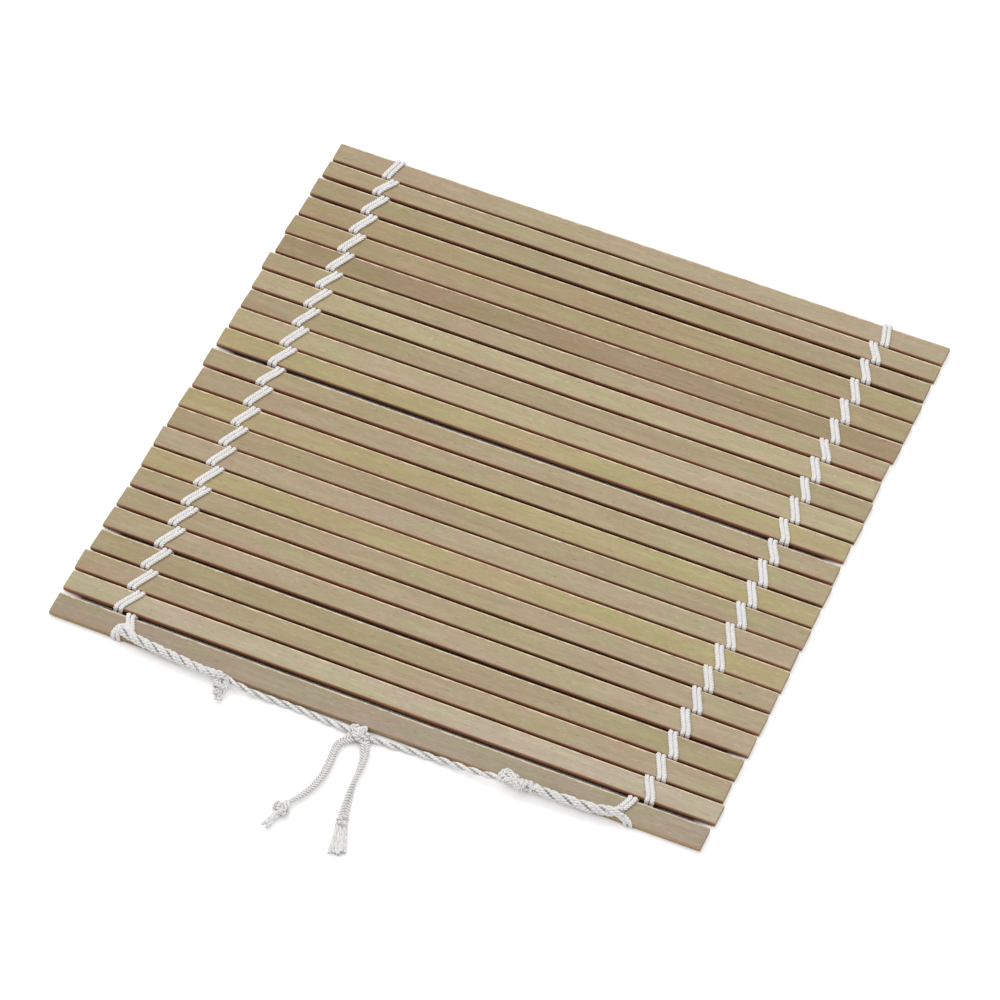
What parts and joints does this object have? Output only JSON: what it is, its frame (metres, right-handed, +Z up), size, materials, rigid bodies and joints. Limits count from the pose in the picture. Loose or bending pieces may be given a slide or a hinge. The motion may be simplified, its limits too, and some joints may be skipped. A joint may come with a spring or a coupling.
{
  "type": "sushi rolling mat",
  "caption": "Square rolling mat of flat bamboo strips, laced edge to edge with cotton thread near both ends, with a knotted tie cord along one edge.",
  "frame": {"origin": "centre of the mat's footprint on the surface it lies on, without the tie cord", "axes": "+X along the slats to the right, +Y from the tied edge to the far edge, +Z up"},
  "size_m": [0.2426, 0.298, 0.0069],
  "materials": {
    "bamboo": "raw split bamboo, uncoated",
    "cotton": "undyed twisted cotton, matt"
  },
  "bodies": {
    "tied_slat": {"slat_01": "bamboo", "lacing_01": "cotton", "braid_left": "cotton", "stub_knot": "cotton", "twist_left": "cotton", "centre_knot": "cotton", "twist_right": "cotton", "right_knot": "cotton", "braid_right": "cotton", "tail_left": "cotton", "tail_left_knot": "cotton", "tail_right": "cotton", "tail_right_tassel": "cotton"},
    "strip_02": {"slat_02": "bamboo", "lacing_02": "cotton"},
    "strip_03": {"slat_03": "bamboo", "lacing_03": "cotton"},
    "strip_04": {"slat_04": "bamboo", "lacing_04": "cotton"},
    "strip_05": {"slat_05": "bamboo", "lacing_05": "cotton"},
    "strip_06": {"slat_06": "bamboo", "lacing_06": "cotton"},
    "strip_07": {"slat_07": "bamboo", "lacing_07": "cotton"},
    "strip_08": {"slat_08": "bamboo", "lacing_08": "cotton"},
    "strip_09": {"slat_09": "bamboo", "lacing_09": "cotton"},
    "strip_10": {"slat_10": "bamboo", "lacing_10": "cotton"},
    "strip_11": {"slat_11": "bamboo", "lacing_11": "cotton"},
    "strip_12": {"slat_12": "bamboo", "lacing_12": "cotton"},
    "strip_13": {"slat_13": "bamboo", "lacing_13": "cotton"},
    "strip_14": {"slat_14": "bamboo", "lacing_14": "cotton"},
    "strip_15": {"slat_15": "bamboo", "lacing_15": "cotton"},
    "strip_16": {"slat_16": "bamboo", "lacing_16": "cotton"},
    "strip_17": {"slat_17": "bamboo", "lacing_17": "cotton"},
    "strip_18": {"slat_18": "bamboo", "lacing_18": "cotton"},
    "strip_19": {"slat_19": "bamboo", "lacing_19": "cotton"},
    "strip_20": {"slat_20": "bamboo", "lacing_20": "cotton"},
    "strip_21": {"slat_21": "bamboo", "lacing_21": "cotton"},
    "strip_22": {"slat_22": "bamboo", "lacing_22": "cotton"},
    "strip_23": {"slat_23": "bamboo", "lacing_23": "cotton"},
    "strip_24": {"slat_24": "bamboo", "lacing_24": "cotton"}
  },
  "joints": [
    {"name": "gap_01_02", "type": "hinge", "parent": "tied_slat", "child": "strip_02", "pos_m": [0, -0.1119, 0.00214], "axis": [1, 0, 0], "range_deg": [-12, 19]},
    {"name": "gap_02_03", "type": "hinge", "parent": "strip_02", "child": "strip_03", "pos_m": [0, -0.10159, 0.00214], "axis": [1, 0, 0], "range_deg": [-12, 23]},
    {"name": "gap_03_04", "type": "hinge", "parent": "strip_03", "child": "strip_04", "pos_m": [0, -0.09138, 0.00214], "axis": [1, 0, 0], "range_deg": [-12, 25]},
    {"name": "gap_04_05", "type": "hinge", "parent": "strip_04", "child": "strip_05", "pos_m": [0, -0.08073, 0.00214], "axis": [1, 0, 0], "range_deg": [-12, 26]},
    {"name": "gap_05_06", "type": "hinge", "parent": "strip_05", "child": "strip_06", "pos_m": [0, -0.07013, 0.00214], "axis": [1, 0, 0], "range_deg": [-12, 26]},
    {"name": "gap_06_07", "type": "hinge", "parent": "strip_06", "child": "strip_07", "pos_m": [0, -0.05991, 0.00214], "axis": [1, 0, 0], "range_deg": [-12, 26]},
    {"name": "gap_07_08", "type": "hinge", "parent": "strip_07", "child": "strip_08", "pos_m": [0, -0.04997, 0.00214], "axis": [1, 0, 0], "range_deg": [-12, 27]},
    {"name": "gap_08_09", "type": "hinge", "parent": "strip_08", "child": "strip_09", "pos_m": [0, -0.03975, 0.00214], "axis": [1, 0, 0], "range_deg": [-12, 27]},
    {"name": "gap_09_10", "type": "hinge", "parent": "strip_09", "child": "strip_10", "pos_m": [0, -0.02958, 0.00214], "axis": [1, 0, 0], "range_deg": [-12, 28]},
    {"name": "gap_10_11", "type": "hinge", "parent": "strip_10", "child": "strip_11", "pos_m": [0, -0.01943, 0.00214], "axis": [1, 0, 0], "range_deg": [-12, 28]},
    {"name": "gap_11_12", "type": "hinge", "parent": "strip_11", "child": "strip_12", "pos_m": [0, -0.00916, 0.00214], "axis": [1, 0, 0], "range_deg": [-12, 29]},
    {"name": "gap_12_13", "type": "hinge", "parent": "strip_12", "child": "strip_13", "pos_m": [0, 0.00152, 0.00214], "axis": [1, 0, 0], "range_deg": [-12, 29]},
    {"name": "gap_13_14", "type": "hinge", "parent": "strip_13", "child": "strip_14", "pos_m": [0, 0.01166, 0.00214], "axis": [1, 0, 0], "range_deg": [-12, 30]},
    {"name": "gap_14_15", "type": "hinge", "parent": "strip_14", "child": "strip_15", "pos_m": [0, 0.022, 0.00214], "axis": [1, 0, 0], "range_deg": [-12, 32]},
    {"name": "gap_15_16", "type": "hinge", "parent": "strip_15", "child": "strip_16", "pos_m": [0, 0.03258, 0.00214], "axis": [1, 0, 0], "range_deg": [-12, 32]},
    {"name": "gap_16_17", "type": "hinge", "parent": "strip_16", "child": "strip_17", "pos_m": [0, 0.04269, 0.00214], "axis": [1, 0, 0], "range_deg": [-12, 32]},
    {"name": "gap_17_18", "type": "hinge", "parent": "strip_17", "child": "strip_18", "pos_m": [0, 0.05294, 0.00214], "axis": [1, 0, 0], "range_deg": [-12, 32]},
    {"name": "gap_18_19", "type": "hinge", "parent": "strip_18", "child": "strip_19", "pos_m": [0, 0.06222, 0.00214], "axis": [1, 0, 0], "range_deg": [-12, 34]},
    {"name": "gap_19_20", "type": "hinge", "parent": "strip_19", "child": "strip_20", "pos_m": [0, 0.07248, 0.00214], "axis": [1, 0, 0], "range_deg": [-12, 36]},
    {"name": "gap_20_21", "type": "hinge", "parent": "strip_20", "child": "strip_21", "pos_m": [0, 0.08286, 0.00214], "axis": [1, 0, 0], "range_deg": [-12, 36]},
    {"name": "gap_21_22", "type": "hinge", "parent": "strip_21", "child": "strip_22", "pos_m": [0, 0.09355, 0.00214], "axis": [1, 0, 0], "range_deg": [-12, 38]},
    {"name": "gap_22_23", "type": "hinge", "parent": "strip_22", "child": "strip_23", "pos_m": [0, 0.10388, 0.00214], "axis": [1, 0, 0], "range_deg": [-12, 38]},
    {"name": "gap_23_24", "type": "hinge", "parent": "strip_23", "child": "strip_24", "pos_m": [0, 0.11291, 0.00214], "axis": [1, 0, 0], "range_deg": [-12, 40]}
  ]
}
